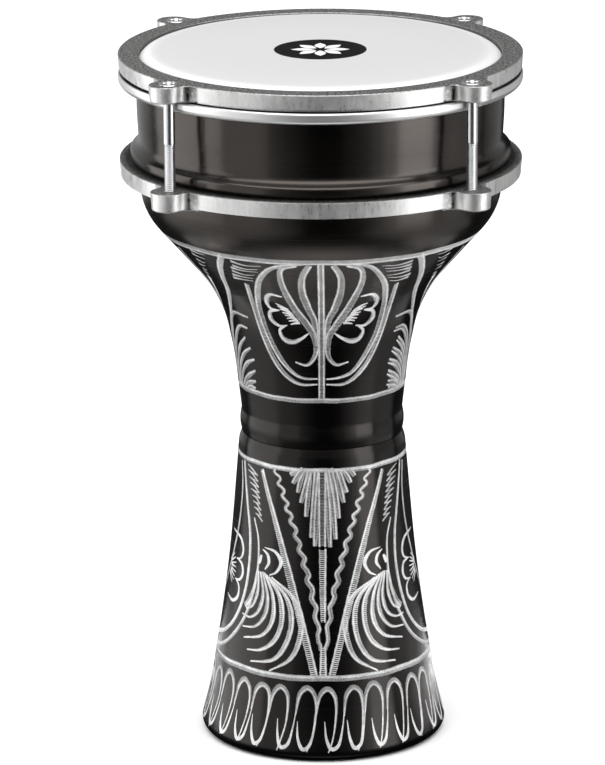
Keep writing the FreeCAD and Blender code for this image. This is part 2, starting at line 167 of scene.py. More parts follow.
def rounded(corners, closed=True, chord=0.6):
    """Points of a line whose corners are rounded where they have a radius."""
    points = []
    count = len(corners)
    for i, corner in enumerate(corners):
        at = Vector(corner[:2])
        end_point = not closed and i in (0, count - 1)
        if len(corner) < 3 or end_point:
            points.append(at)
            continue
        to_before = (Vector(corners[i - 1][:2]) - at).normalized()
        to_after = (Vector(corners[(i + 1) % count][:2]) - at).normalized()
        half = to_before.angle(to_after) / 2
        radius = corner[2]
        centre = at + (to_before + to_after).normalized() * (radius / math.sin(half))
        cut_off = radius / math.tan(half)
        first = at + to_before * cut_off - centre
        last = at + to_after * cut_off - centre
        turn = first.angle_signed(last)
        by_angle = math.ceil(abs(turn) / LARGEST_STEP)
        by_length = math.ceil(abs(turn) * radius / chord / 4)
        steps = max(3, by_angle, by_length)
        for k in range(steps + 1):
            swept = first.copy()
            swept.rotate(Matrix.Rotation(-turn * k / steps, 2))
            points.append(centre + swept)
    return points


def revolve(gather, outline, segments):
    """Turn a closed (radius, height) outline about the drum's axis."""
    rings = []
    corners = []
    for radius, height in outline:
        start = len(corners)
        if radius < 1e-6:
            corners.append((0.0, 0.0, height))
            rings.append([start] * segments)
            continue
        for k in range(segments):
            turn = 2 * math.pi * k / segments
            corners.append((radius * math.sin(turn), -radius * math.cos(turn), height))
        rings.append(list(range(start, start + segments)))
    faces = []
    for i, ring in enumerate(rings):
        following = rings[(i + 1) % len(rings)]
        if ring[0] == ring[1] and following[0] == following[1]:
            continue
        for k in range(segments):
            n = (k + 1) % segments
            face = [ring[k], ring[n], following[n], following[k]]
            faces.append([c for j, c in enumerate(face) if c not in face[:j]])
    gather.add(corners, faces)


# ---- Materials -----------------------------------------------------------
class Material:
    """A node material, with short calls for the nodes that the pieces share."""

    def __init__(self, name, **values):
        self.material = bpy.data.materials.new(name)
        self.material.use_nodes = True
        self.tree = self.material.node_tree
        self.shader = self.tree.nodes["Principled BSDF"]
        for socket, value in values.items():
            self.shader.inputs[socket.replace("_", " ")].default_value = value
        self.place = self.node("ShaderNodeTexCoord").outputs["Object"]

    def node(self, kind, **settings):
        made = self.tree.nodes.new(kind)
        for key, value in settings.items():
            setattr(made, key, value)
        return made

    def stretched(self, scale):
        """The object's own coordinates in metres, scaled per axis."""
        mapping = self.node("ShaderNodeMapping")
        mapping.inputs["Scale"].default_value = scale
        self.tree.links.new(self.place, mapping.inputs["Vector"])
        return mapping.outputs["Vector"]

    def feed(self, socket, value):
        """Set a socket to a number or a colour, or link another socket to it."""
        if isinstance(value, (int, float)):
            socket.default_value = value
        elif isinstance(value, tuple):
            socket.default_value = (*value, 1)
        else:
            self.tree.links.new(value, socket)

    def noise(self, scale, detail=3.0, roughness=0.5, vector=None):
        made = self.node("ShaderNodeTexNoise")
        made.inputs["Scale"].default_value = scale
        made.inputs["Detail"].default_value = detail
        made.inputs["Roughness"].default_value = roughness
        self.tree.links.new(vector or self.place, made.inputs["Vector"])
        return made.outputs["Fac"]

    def fade(self, value, start, end, low=0.0, high=1.0):
        """Go evenly from low to high while the value goes from start to end."""
        made = self.node("ShaderNodeMapRange")
        for socket, given in zip(made.inputs, (value, start, end, low, high)):
            self.feed(socket, given)
        return made.outputs[0]

    def math(self, operation, first, second=0.0):
        made = self.node("ShaderNodeMath", operation=operation)
        self.feed(made.inputs[0], first)
        self.feed(made.inputs[1], second)
        return made.outputs[0]

    def mix(self, factor, first, second):
        made = self.node("ShaderNodeMix", data_type="RGBA")
        self.feed(made.inputs[0], factor)
        self.feed(made.inputs[6], first)
        self.feed(made.inputs[7], second)
        return made.outputs[2]

    def parts_of(self, vector):
        """The X, Y and Z of a vector."""
        made = self.node("ShaderNodeSeparateXYZ")
        self.tree.links.new(vector, made.inputs[0])
        return made.outputs

    def facing(self):
        """How far the surface faces up, from 1 through 0 to -1 for down."""
        geometry = self.node("ShaderNodeNewGeometry")
        return self.parts_of(geometry.outputs["Normal"])[2]

    def radius_and_height(self):
        """Distance from the drum's axis and height, both in millimetres."""
        x, y, z = self.parts_of(self.place)
        squares = self.math("ADD", self.math("POWER", x, 2.0), self.math("POWER", y, 2.0))
        return self.math("DIVIDE", self.math("SQRT", squares), MM), self.math("DIVIDE", z, MM)

    def use(self, socket, value):
        self.tree.links.new(value, self.shader.inputs[socket])

    def bump(self, height, distance, strength):
        """Bump of a real depth, in millimetres, from a 0 to 1 height."""
        made = self.node("ShaderNodeBump")
        made.inputs["Strength"].default_value = strength
        made.inputs["Distance"].default_value = distance * MM
        self.tree.links.new(height, made.inputs["Height"])
        return made.outputs["Normal"]


# Heights over which the painted shade that darkens the lower wall fades out,
# radii between which the film turns paler, and between which the painted shade of a ring's bore ends
SHADE_FADE_FROM, SHADE_FADE_TO = 225, 295
PALE_RIM_FROM, PALE_RIM_TO = 85, 92
BORE_FROM, BORE_TO = 97.6, 98.8


def shell_finish():
    """Anodised aluminium with fine turned lines, brown, with painted shade darkening it below the drum's
    wall.
    """
    m = Material("shell_finish", Metallic=1.0, Anisotropic=0.8, Anisotropic_Rotation=0.25)
    turned = m.noise(1.0, 4.0, 0.65, m.stretched((2.5, 2.5, 5200)))
    broad = m.noise(1.0, 2.0, 0.5, m.stretched((9, 9, 420)))
    mottle = m.noise(38.0, 4.0, 0.6)
    _, height = m.radius_and_height()
    # Painted shade: below these heights the wall's brown is darkened, dimming the lower body's
    # reflections.
    unshaded_above = m.fade(height, SHADE_FADE_FROM, SHADE_FADE_TO)
    brown = m.mix(turned, (0.062, 0.0555, 0.0515), (0.093, 0.084, 0.078))
    shaded_dark = m.mix(turned, (0.029, 0.027, 0.026), (0.046, 0.043, 0.0415))
    tone = m.mix(unshaded_above, shaded_dark, brown)
    m.use("Base Color", m.mix(m.math("MULTIPLY", mottle, 0.3), tone, (0.033, 0.030, 0.0285)))
    rough = m.math("ADD", m.math("MULTIPLY", turned, 0.14), m.math("MULTIPLY", broad, 0.08))
    m.use("Roughness", m.math("ADD", rough, 0.14))
    m.use("Normal", m.bump(turned, 0.004, 0.3))
    tangent = m.node("ShaderNodeTangent", direction_type="RADIAL", axis="Z")
    m.use("Tangent", tangent.outputs[0])
    return m.material


def engraving_finish(name, low, high):
    """Bare aluminium where the tool cut through the anodising."""
    m = Material(name, Metallic=0.45)
    cut = m.mix(0.45, m.noise(1900.0, 3.0, 0.6), m.noise(160.0, 4.0, 0.7))
    m.use("Base Color", m.fade(cut, 0.36, 0.62, low, high))
    m.use("Roughness", m.math("ADD", m.math("MULTIPLY", cut, 0.25), 0.36))
    m.use("Normal", m.bump(cut, 0.01, 0.6))
    return m.material


def film_finish():
    """Milky coated film, paler towards its rim."""
    m = Material("head_film", Roughness=0.36, Coat_Weight=0.25, Coat_Roughness=0.12)
    radius, _ = m.radius_and_height()
    edge = m.fade(radius, PALE_RIM_FROM, PALE_RIM_TO)
    grain = m.noise(900.0, 3.0, 0.6)
    cloud = m.noise(22.0, 3.0, 0.5)
    tone = m.mix(grain, (0.66, 0.66, 0.664), (0.70, 0.70, 0.704))
    tone = m.mix(m.math("MULTIPLY", cloud, 0.25), tone, (0.65, 0.65, 0.655))
    m.use("Base Color", m.mix(edge, tone, (0.80, 0.80, 0.804)))
    m.use("Normal", m.bump(grain, 0.01, 0.35))
    return m.material


def ink_finish(name, dark, light):
    """Screen-printed ink, slightly uneven."""
    m = Material(name, Specular_IOR_Level=0.06)
    uneven = m.noise(260.0, 4.0, 0.6)
    m.use("Base Color", m.mix(uneven, dark, light))
    m.use("Roughness", m.math("ADD", m.math("MULTIPLY", uneven, 0.15), 0.45))
    m.use("Normal", m.bump(uneven, 0.006, 0.4))
    return m.material


def cast_finish(name, top_dark, top_light, lug_top=None):
    """Die-cast aluminium: coarse on level faces, hand-linished round the outside."""
    m = Material(name, Metallic=0.86)
    coarse = m.noise(620.0, 5.0, 0.7)
    grit = m.fade(m.noise(720.0, 4.0, 0.75), 0.40, 0.60)
    solid = m.fade(m.noise(420.0, 4.0, 0.72), 0.27, 0.37)
    strokes = m.fade(m.noise(1.0, 5.0, 0.7, m.stretched((420, 420, 90))), 0.2, 0.75)
    cloud = m.fade(m.noise(70.0, 4.0, 0.65), 0.35, 0.65)
    level = m.fade(m.math("ABSOLUTE", m.facing()), 0.30, 0.85)
    upright = m.math("SUBTRACT", 1.0, level)
    top_tone = m.mix(grit, top_dark, top_light)
    side_tone = m.mix(strokes, (0.60, 0.595, 0.59), (0.95, 0.945, 0.94))
    side_tone = m.mix(m.math("MULTIPLY", cloud, 0.5), side_tone, (0.62, 0.615, 0.61))
    tone = m.mix(level, side_tone, top_tone)
    tone = m.mix(solid, m.mix(0.25, tone, (0.16, 0.155, 0.15)), tone)
    # The hollows beside the lugs are painted dark, a painted shade in their concave fillets. A lug
    # lies on each diagonal, so "aside" is the distance from the nearest one.
    x, y, _ = m.parts_of(m.place)
    across = m.math("ABSOLUTE", x)
    along = m.math("ABSOLUTE", y)
    diagonal = math.sqrt(0.5) / MM
    aside = m.math("ABSOLUTE", m.math("MULTIPLY", m.math("SUBTRACT", across, along), diagonal))
    outward = m.math("MULTIPLY", m.math("ADD", across, along), diagonal)
    hollow_shade = m.math("MULTIPLY", m.fade(aside, 8.8, 10.2), m.fade(aside, 17.2, 15.2))
    hollow_shade = m.math("MULTIPLY", hollow_shade, m.fade(outward, 104.0, 106.6))
    hollow_shade = m.math("MULTIPLY", hollow_shade, upright)
    hollow_shade = m.math("MULTIPLY", hollow_shade, m.fade(m.noise(260.0, 4.0, 0.7), 0.48, 0.68, 1.0, 0.4))
    tone = m.mix(hollow_shade, tone, (0.02, 0.019, 0.018))
    radius, _ = m.radius_and_height()
    # Painted shade: the bore's inner wall is darkened.
    bore_shade = m.math("MULTIPLY", m.fade(radius, BORE_TO, BORE_FROM), upright)
    # On the painted-shade copy, the lug tops stand out of the shade and keep a lit tone.
    if lug_top:
        outer = m.math("MULTIPLY", m.fade(radius, 102.4, 106.0), level)
        tone = m.mix(outer, tone, m.mix(grit, (0.10, 0.098, 0.096), lug_top))
    m.use("Base Color", m.mix(bore_shade, tone, (0.10, 0.096, 0.092)))
    side_rough = m.fade(strokes, 0.25, 0.8, 0.25, 0.43)
    top_rough = m.fade(coarse, 0.2, 0.8, 0.46, 0.66)
    m.use("Roughness", m.mix(level, side_rough, top_rough))
    relief = m.mix(level, m.mix(0.5, strokes, cloud), m.mix(0.5, coarse, grit))
    m.use("Normal", m.bump(relief, 0.09, 0.6))
    return m.material


def polished_finish():
    """Rolled, polished aluminium of the flesh hoop."""
    m = Material("hoop_metal", Metallic=0.92)
    drawn = m.noise(1.0, 4.0, 0.6, m.stretched((30, 30, 5200)))
    haze = m.noise(60.0, 4.0, 0.6)
    bright = m.mix(haze, (0.84, 0.84, 0.84), (0.95, 0.95, 0.945))
    # Dust and shadow gather in the gap under the tuning ring
    _, height = m.radius_and_height()
    under_ring = m.fade(height, HOOP_TOP - 0.95, HOOP_TOP - 0.45)
    m.use("Base Color", m.mix(under_ring, bright, (0.022, 0.021, 0.020)))
    m.use("Roughness", m.math("ADD", m.math("MULTIPLY", drawn, 0.18), 0.26))
    m.use("Normal", m.bump(drawn, 0.003, 0.5))
    return m.material


def resin_finish():
    """Cloudy cast resin that holds the film in its hoop."""
    m = Material("resin", Roughness=0.35)
    cloud = m.noise(180.0, 5.0, 0.6)
    m.use("Base Color", m.mix(cloud, (0.50, 0.47, 0.40), (0.68, 0.65, 0.58)))
    m.use("Normal", m.bump(cloud, 0.05, 0.4))
    return m.material


def chrome_finish():
    """Bright plated steel with faint handling marks, rougher on the screw heads' tops, which are painted
    darker as shade.
    """
    m = Material("screw_steel", Metallic=1.0)
    marks = m.noise(700.0, 5.0, 0.65)
    # Painted shade: level faces, the heads' tops, are darkened against the overhead light, and made
    # rougher.
    level = m.fade(m.facing(), 0.6, 0.95)
    bright = m.mix(marks, (0.80, 0.80, 0.82), (0.88, 0.88, 0.89))
    shaded_top = m.mix(marks, (0.26, 0.26, 0.26), (0.50, 0.50, 0.50))
    m.use("Base Color", m.mix(level, bright, shaded_top))
    plain = m.fade(marks, 0.3, 0.75, 0.14, 0.30)
    m.use("Roughness", m.mix(level, plain, (0.5, 0.5, 0.5)))
    m.use("Normal", m.bump(marks, 0.004, 0.4))
    return m.material


SHELL_FINISH = shell_finish()
ENGRAVING = engraving_finish("engraving", 0.44, 0.90)
ENGRAVING_RIBS = engraving_finish("engraving_ribs", 0.26, 0.60)
ENGRAVING_SHADE = engraving_finish("engraving_shade", 0.12, 0.28)
FILM = film_finish()
BLACK_INK = ink_finish("print_black", (0.006, 0.006, 0.006), (0.016, 0.015, 0.015))
WHITE_INK = ink_finish("print_white", (0.72, 0.72, 0.72), (0.84, 0.84, 0.84))
CAST = cast_finish("cast_ring", (0.016, 0.0155, 0.015), (0.38, 0.375, 0.37))
# The anchor ring's copy: its level faces are painted nearly black, a painted shade under the drum's
# wall, and only its lug tops keep a lit tone.
CAST_SHADED = cast_finish(
    "cast_ring_painted_shade", (0.010, 0.0095, 0.009), (0.07, 0.068, 0.066), lug_top=(0.36, 0.355, 0.35)
)
POLISHED = polished_finish()
RESIN = resin_finish()
CHROME = chrome_finish()

for node, material in (
    ("tuning_ring", CAST),
    ("anchor_ring", CAST_SHADED),
    ("flesh_hoop", POLISHED),
    ("hoop_resin", RESIN),
):
    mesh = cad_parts[node].data
    mesh.materials.clear()
    mesh.materials.append(material)

# Cast edges are never quite sharp
for node in ("tuning_ring", "anchor_ring"):
    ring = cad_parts[node]
    weld = ring.modifiers.new("weld", "WELD")
    weld.merge_threshold = 0.00001
    soften = ring.modifiers.new("soften", "BEVEL")
    soften.width = 0.55 * MM
    soften.segments = 3
    soften.limit_method = "ANGLE"
    soften.angle_limit = math.radians(40)
    soften.use_clamp_overlap = True
    shade = ring.modifiers.new("shade", "WEIGHTED_NORMAL")
    shade.keep_sharp = False

# ---- Shells ---------------------------------------------------------------
AROUND = 288

upper = Gather()
revolve(upper, rounded(UPPER_OUTSIDE + UPPER_INSIDE), AROUND)
upper_shell = upper.piece("turned_upper_shell", SHELL, SHELL_FINISH)
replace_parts(upper_shell, "upper_shell")

lower = Gather()
revolve(lower, rounded(LOWER_OUTSIDE + LOWER_INSIDE), AROUND)
lower_shell = lower.piece("turned_lower_shell", SHELL, SHELL_FINISH)
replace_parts(lower_shell, "lower_shell")

# ---- Head -----------------------------------------------------------------
FILM_THICKNESS = 0.25
HEAD_CURVE = 9.4
film = Gather()
outer_line = [(0, FILM_TOP), (50, FILM_TOP), (95, FILM_TOP, HEAD_CURVE), (100.4, 361.3)]
inner_line = [
    (100.1, 361.3),
    (94.8, FILM_TOP - FILM_THICKNESS, HEAD_CURVE - FILM_THICKNESS),
    (50, FILM_TOP - FILM_THICKNESS),
    (0, FILM_TOP - FILM_THICKNESS),
]
revolve(film, rounded(outer_line + inner_line), AROUND)
film_piece = film.piece("coated_film", HEAD, FILM)
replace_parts(film_piece, "drumhead_film")

EMBLEM_R = 24.5
INK = 0.03
PETALS = 8
PETAL_START, PETAL_END = 3.0, 15.5
PETAL_HALF = 3.0


def petal(gather, degrees, bottom, top, steps=14):
    """One pointed petal on the head, in a direction counted from the front."""
    turn = math.radians(degrees)
    out = Vector((math.sin(turn), -math.cos(turn)))
    side = Vector((out.y, -out.x))
    edge = []
    for k in range(2 * steps):
        share = k / steps
        along = share if share <= 1 else 2 - share
        across = math.sin(math.pi * along) * (PETAL_HALF if share <= 1 else -PETAL_HALF)
        edge.append(out * (PETAL_START + (PETAL_END - PETAL_START) * along) + side * across)
    count = len(edge)
    corners = [(p.x, p.y, z) for z in (bottom, top) for p in edge]
    faces = [[*range(count)], [*reversed(range(count, 2 * count))]]
    faces += [[k, k + count, (k + 1) % count + count, (k + 1) % count] for k in range(count)]
    gather.add(corners, faces)


emblem = Gather()
ink_low, ink_high = FILM_TOP - 0.01, FILM_TOP + INK
revolve(emblem, [(EMBLEM_R, ink_high), (0, ink_high), (0, ink_low), (EMBLEM_R, ink_low)], 96)
emblem.piece("print_disc", HEAD, BLACK_INK)

rosette = Gather()
for k in range(PETALS):
    petal(rosette, 360 / PETALS * k, FILM_TOP, FILM_TOP + 2 * INK)
rosette.piece("print_rosette", HEAD, WHITE_INK)

# ---- Screws ---------------------------------------------------------------
SCREW_R = 3.0
THREAD_ROOT = 2.5
THREAD_CREST = 2.93
PITCH_OF_THREAD = 1.0
THREAD_LOW = 311.4
THREAD_HIGH = 343.0
HEAD_SEAT = 372.0
HEAD_TOP = 375.4
HEAD_R = 5.3
CROSS_REACH = 2.9
CROSS_HALF = 0.78
CROSS_DEPTH = 1.9


def around(count, radius, height, centre):
    """One ring of points; the radius may be a function of the angle."""
    ring = []
    for k in range(count):
        turn = 2 * math.pi * k / count
        out = radius(turn) if callable(radius) else radius
        ring.append((centre[0] + out * math.cos(turn), centre[1] + out * math.sin(turn), height))
    return ring


def join(gather, rings):
    """Skin between rings of equal count, closed by a flat face at each end."""
    count = len(rings[0])
    corners = [corner for ring in rings for corner in ring]
    faces = []
    for r in range(len(rings) - 1):
        for k in range(count):
            n = (k + 1) % count
            low, high = r * count, (r + 1) * count
            faces.append([low + k, low + n, high + n, high + k])
    last = (len(rings) - 1) * count
    faces.append([*reversed(range(count))])
    faces.append([last + k for k in range(count)])
    gather.add(corners, faces)


def cross(half, reach):
    """Outline of a cross recess as a radius for each angle."""
    def radius(turn):
        from_arm = abs((turn + math.pi / 4) % (math.pi / 2) - math.pi / 4)
        return min(reach / math.cos(from_arm), half / max(math.sin(from_arm), 1e-6))
    return radius


def screw(name, centre, body):
    """A threaded shank under a low round head with a cross recess."""
    made = Gather()
    sides = 32
    rows = round((THREAD_HIGH - THREAD_LOW) / PITCH_OF_THREAD * 8)
    shank = [around(sides, THREAD_ROOT - 0.35, THREAD_LOW - 0.4, centre)]
    for row in range(rows + 1):
        height = THREAD_LOW + (THREAD_HIGH - THREAD_LOW) * row / rows

        def thread(turn, height=height):
            place = (height / PITCH_OF_THREAD - turn / (2 * math.pi)) % 1
            ridge = min(1, max(0, 1.7 * abs(2 * place - 1) - 0.35))
            return THREAD_ROOT + (THREAD_CREST - THREAD_ROOT) * ridge

        shank.append(around(sides, thread, height, centre))
    for radius, height in (
        (SCREW_R - 0.1, THREAD_HIGH + 0.15),
        (SCREW_R, THREAD_HIGH + 0.4),
        (SCREW_R, THREAD_HIGH + 0.6),
        (SCREW_R, HEAD_SEAT - 0.3),
        (SCREW_R, HEAD_SEAT),
    ):
        shank.append(around(sides, radius, height, centre))
    join(made, shank)
    # Head: underside, rim, crown and down into the recess
    fine = 96
    head = [around(fine, radius, height, centre) for radius, height in (
        (SCREW_R - 0.2, HEAD_SEAT + 0.02),
        (HEAD_R - 0.15, HEAD_SEAT + 0.02),
        (HEAD_R, HEAD_SEAT + 0.2),
        (HEAD_R, HEAD_TOP - 0.95),
        (HEAD_R - 0.12, HEAD_TOP - 0.62),
        (HEAD_R - 0.42, HEAD_TOP - 0.34),
        (HEAD_R - 0.9, HEAD_TOP - 0.16),
        (HEAD_R - 1.6, HEAD_TOP - 0.05),
    )]
    for half, reach, height in (
        (CROSS_HALF + 0.12, CROSS_REACH + 0.15, HEAD_TOP),
        (CROSS_HALF, CROSS_REACH, HEAD_TOP - 0.12),
        (CROSS_HALF * 0.7, CROSS_REACH * 0.5, HEAD_TOP - CROSS_DEPTH),
    ):
        head.append(around(fine, cross(half, reach), height, centre))
    join(made, head)
    return made.piece(name, body, CHROME, sharp_degrees=50)


for side in ("front_left", "front_right", "back_left", "back_right"):
    low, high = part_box("tuning_screw_" + side)
    middle = ((low.x + high.x) / 2 / MM, (low.y + high.y) / 2 / MM)
    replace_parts(screw("cross_head_screw_" + side, middle, "screw_" + side), "tuning_screw_" + side)

# ---- Engraving ------------------------------------------------------------
# The tool rocked from side to side as it went along, so a stroke is a bright
# edge with a comb of short cuts beside it.
skin = sorted(
    (p.y, p.x)
    for line in (UPPER_OUTSIDE[7:], LOWER_OUTSIDE)
    for p in rounded(line, closed=False, chord=0.2)
)
skin_heights = [height for height, _ in skin]
LIFT = 0.05
SUNK = -0.12
FINE_PITCH = 0.8
LADDER_PITCH = 1.1
BAR = 0.75
INSET = 0.4
chance = random.Random(7)
shading = Gather()
ribs = Gather()


def wall_radius(height):
    """Radius of the wall's outside at a height."""
    i = min(max(bisect.bisect(skin_heights, height), 1), len(skin) - 1)
    (low, r_low), (high, r_high) = skin[i - 1], skin[i]
    share = (height - low) / max(high - low, 1e-9)
    return r_low + (r_high - r_low) * min(max(share, 0), 1)


def on_wall(angle, height, lift=0.0):
    """The point on the wall at an angle in radians and a height."""
    radius = wall_radius(height)
    slope = (wall_radius(height + 0.3) - wall_radius(height - 0.3)) / 0.6
    length = math.hypot(1, slope)
    out = radius + lift / length
    return Vector((out * math.sin(angle), -out * math.cos(angle), height - lift * slope / length))


def beside(point, along, across, ahead, aside, lift):
    """A point on the wall, moved ahead and aside of a place on a stroke."""
    moved = point + along * ahead + across * aside
    return on_wall(math.atan2(moved.x, -moved.y), moved.z, lift)


def curve_through(points, step):
    """Evenly spaced points of a smooth line through (angle, height) places."""
    places = [Vector(p) for p in points]
    places = [places[0] * 2 - places[1], *places, places[-1] * 2 - places[-2]]
    dense = []
    for a, b, c, d in zip(places, places[1:], places[2:], places[3:]):
        for k in range(24):
            t = k / 24
            square = (2 * a - 5 * b + 4 * c - d) * t * t
            cube = (3 * b - a - 3 * c + d) * t ** 3
            dense.append(0.5 * (2 * b + (c - a) * t + square + cube))
    dense.append(places[-2])
    solid = [on_wall(math.radians(p.x), p.y) for p in dense]
    lengths = [0.0]
    for p, q in zip(solid, solid[1:]):
        lengths.append(lengths[-1] + (q - p).length)
    count = max(2, round(lengths[-1] / step))
    even = []
    for k in range(count + 1):
        at = lengths[-1] * k / count
        i = min(max(bisect.bisect(lengths, at), 1), len(lengths) - 1)
        share = (at - lengths[i - 1]) / max(lengths[i] - lengths[i - 1], 1e-9)
        even.append(solid[i - 1].lerp(solid[i], min(share, 1)))
    return even


def width_at(widths, share):
    """Width at a share of a stroke's length, from evenly spaced widths."""
    if len(widths) == 1:
        return widths[0]
    place = share * (len(widths) - 1)
    i = min(int(place), len(widths) - 2)
    return widths[i] + (widths[i + 1] - widths[i]) * (place - i)


BOX_FACES = [[0, 1, 2, 3], [7, 6, 5, 4], [0, 4, 5, 1], [1, 5, 6, 2], [2, 6, 7, 3], [3, 7, 4, 0]]


def directions(points):
    """Direction along a stroke and direction across it, at each point."""
    result = []
    for i, point in enumerate(points):
        along = (points[min(i + 1, len(points) - 1)] - points[max(i - 1, 0)]).normalized()
        out = Vector((point.x, point.y, 0)).normalized()
        result.append((along, out.cross(along).normalized()))
    return result


def strip(gather, points, sides, edges_at):
    """A low closed strip along a stroke; edges_at gives its two edges and lift."""
    last = len(points) - 1
    corners = []
    for i, (point, (along, across)) in enumerate(zip(points, sides)):
        near, far, lift = edges_at(i / last)
        for aside, height in ((near, SUNK), (near, lift), (far, lift * 0.6), (far, SUNK)):
            corners.append(beside(point, along, across, 0, aside, height))
    faces = [[0, 1, 2, 3], [4 * last + k for k in (3, 2, 1, 0)]]
    for i in range(last):
        for k in range(4):
            n = (k + 1) % 4
            faces.append([4 * i + k, 4 * i + 4 + k, 4 * i + 4 + n, 4 * i + n])
    gather.add(corners, faces)


def stroke(gather, places, widths, lead=1, both=False, comb=True, core=BAR, ladder=False):
    """One engraved stroke: a bright core near one side and a comb of cuts over it.

    A ladder stroke has wide-set bright cuts; the others have fine, duller ones.
    """
    pitch = LADDER_PITCH if ladder else FINE_PITCH
    thick = 0.28 if ladder else 0.25
    points = curve_through(places, pitch)
    sides = directions(points)
    last = len(points) - 1

    for edge in ([lead, -lead] if both else [lead]):
        def core_edges(share, edge=edge):
            width = width_at(widths, share)
            bar = width if not comb else min(core * chance.uniform(0.8, 1.15), width)
            far = edge * (width / 2 - min(INSET, (width - bar) / 3))
            return far - edge * bar, far, LIFT * chance.uniform(0.8, 1.5)

        strip(gather, points, sides, core_edges)
    if not comb:
        return

    def shade_edges(share):
        reach = width_at(widths, share) * 0.46
        return -reach, reach, LIFT * 0.3

    strip(shading, points, sides, shade_edges)
    for i in range(1, last):
        width = width_at(widths, i / last)
        if width < core * 1.5:
            continue
        point = points[i]
        along, across = sides[i]
        start = lead * width / 2 * chance.uniform(0.86, 1.04)
        end = -lead * width / 2 * chance.uniform(0.82, 1.05)
        half = pitch * chance.uniform(thick - 0.04, thick + 0.04)
        corners = []
        for low in (True, False):
            for ahead, aside in ((-half, start), (-half * 0.7, end), (half * 0.7, end), (half, start)):
                tilt = LIFT * (0.4 if ahead < 0 else 1.9)
                corners.append(beside(point, along, across, ahead, aside, SUNK if low else tilt))
        (gather if ladder else ribs).add(corners, BOX_FACES)


def everywhere(gather, places, widths, lead=1, centre=False, shake=0.25, **kind):
    """The same stroke mirrored, and again on the drum's other side."""
    for turned in (0, 180):
        for mirror in ((1,) if centre else (1, -1)):
            shaken = [
                (
                    turned + mirror * angle + chance.uniform(-shake, shake),
                    height + chance.uniform(-shake, shake),
                )
                for angle, height in places
            ]
            stroke(gather, shaken, widths, lead * mirror, **kind)


def ring_line(gather, height, width, lead=1, wander=0.15, core=BAR):
    """A line all the way round, slightly uneven as a hand tool leaves it."""
    count = 40
    places = [
        (180 + 360 * k / count, height + wander * math.sin(5.1 * k) + wander * math.sin(2.3 * k))
        for k in range(count)
    ]
    past_the_start = (places[0][0] + 360.5, places[0][1])
    stroke(gather, [*places, past_the_start], [width], lead, core=core)


# ---- Engraving: upper band -------------------------------------------------
# Places are (angle, height). Most strokes are drawn once and repeated in all
# four quarters by everywhere().
upper_art = Gather()
ring_line(upper_art, 281.6, 3.5, -1)
ring_line(upper_art, 195.5, 2.9, 1)
everywhere(upper_art, [(0, 280.5), (0, 240), (0, 197)], [4.0, 3.8], centre=True, both=True)

# Leaves that sweep in to the stem; the outer one ends in a hook
everywhere(
    upper_art,
    [(4, 280), (7.5, 271), (8.5, 260), (6.5, 250), (3.5, 241), (2.6, 226)],
    [3.4, 4.6, 2.8],
    -1,
)
everywhere(
    upper_art,
    [(9, 279.5), (14.5, 276.5), (16.5, 268), (16, 258), (13.5, 249), (8.5, 240), (4.5, 233),
     (3.3, 226), (4.6, 220.0), (9.5, 215.8), (17, 217.4)],
    [2.0, 3.6, 4.5, 4.5, 3.4, 0.9],
    -1,
)

# Heart and the line round it
everywhere(
    upper_art,
    [(6, 280.5), (17, 278), (23.5, 271), (29, 261.5), (34, 248), (34, 233), (28, 220),
     (20, 211.5), (12, 208.5), (3, 208)],
    [1.4, 2.8, 3.6, 3.8, 3.2, 0.9],
)
everywhere(
    upper_art,
    [(34, 263.5), (37.5, 250), (38, 234.5), (33, 220), (25, 210), (15, 205), (3, 205)],
    [2.8, 3.2, 3.4, 3.0, 0.9],
)

# Flower with three scallops and a fringe of short cuts
for places in (
    [(18.5, 257), (24.5, 257.5), (28, 252.5), (27, 248.5), (22.5, 248)],
    [(22.5, 248), (27.8, 246.5), (28.8, 241.5), (24.5, 238), (19.5, 238.5)],
    [(21, 238), (24.8, 235), (23.3, 230.5), (18, 229), (12, 231.3), (7.5, 234.3)],
):
    everywhere(upper_art, places, [0.6, 2.2, 3.2, 2.2, 0.6], core=1.5)
for k in range(8):
    tip = (23.4 - 0.85 * k, 252.2 - 1.8 * k)
    root = (17.2 - 0.72 * k, 248.4 - 1.1 * k)
    middle = ((root[0] + tip[0]) / 2, (root[1] + tip[1]) / 2 + 0.4)
    everywhere(upper_art, [root, middle, tip], [1.5, 1.1, 0.6], comb=False)

# Quick hatching, each stroke with a heavy head
for k in range(6):
    head = (34.5 + 0.9 * k, 278.2 - 2.4 * k)
    middle = (29 + 1.0 * k, 276.8 - 2.2 * k)
    tail = (22.5 + 1.4 * k, 277.6 - 2.3 * k)
    everywhere(ribs, [head, middle, tail], [1.7, 0.6, 0.3], comb=False, shake=0.5)
for k in range(7):
    head = (54 + 1.1 * k, 279.5 - 3.1 * k)
    middle = (50 + 1.5 * k, 278.4 - 3 * k)
    tail = (46.5 + 2.2 * k, 279 - 3 * k)
    everywhere(ribs, [head, middle, tail], [1.5, 0.6, 0.3], comb=False, shake=0.5)

# Long curves down the flank
everywhere(
    upper_art,
    [(37, 281.5), (42, 273), (46, 266), (51.5, 255), (60, 242.5), (68, 231), (74, 219.5), (77, 207)],
    [3.8, 3.6, 3.0, 2.2, 1.0],
)
everywhere(upper_art, [(66, 277), (68, 262), (74, 246), (81, 231), (87, 217)], [2.2, 2.6, 2.2, 1.0])
everywhere(upper_art, [(60, 262), (67, 251), (75, 240)], [1.8, 1.4, 0.6], comb=False)

